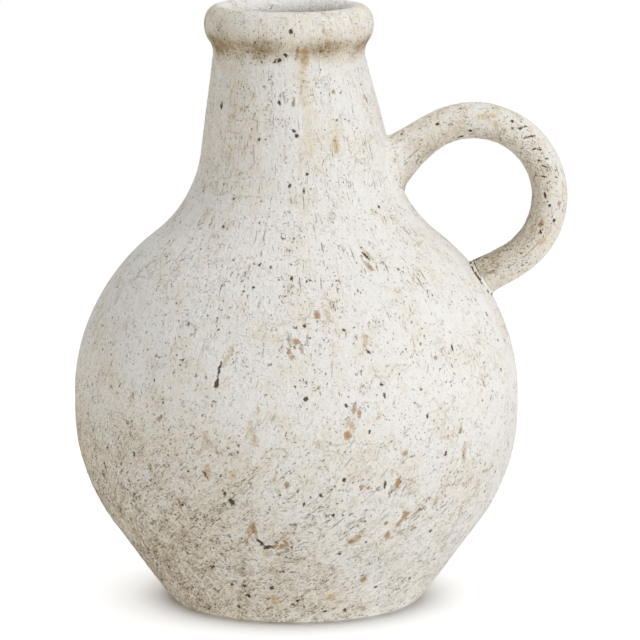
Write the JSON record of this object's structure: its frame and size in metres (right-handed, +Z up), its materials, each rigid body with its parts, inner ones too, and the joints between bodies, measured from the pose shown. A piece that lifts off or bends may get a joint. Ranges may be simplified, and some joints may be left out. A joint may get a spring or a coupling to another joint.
{
  "type": "handled jug vase",
  "caption": "Squat round-bellied earthenware jug vase with a conical neck, rolled rim and a ring handle on its side.",
  "frame": {"origin": "centre of the flat foot on the surface that it stands on, on the axis of the belly", "axes": "+Z up along the axis of the belly, +X towards the handle, +Y away from the viewer who sees the handle on the right"},
  "size_m": [0.2474, 0.2232, 0.3],
  "materials": {
    "whitewashed_earthenware": "matte"
  },
  "bodies": {
    "root": {"foot_disc": "whitewashed_earthenware", "lower_bowl": "whitewashed_earthenware", "shoulder": "whitewashed_earthenware", "neck": "whitewashed_earthenware", "rim": "whitewashed_earthenware", "handle_loop": "whitewashed_earthenware", "handle_upper_root": "whitewashed_earthenware", "handle_lower_root": "whitewashed_earthenware"}
  },
  "joints": []
}
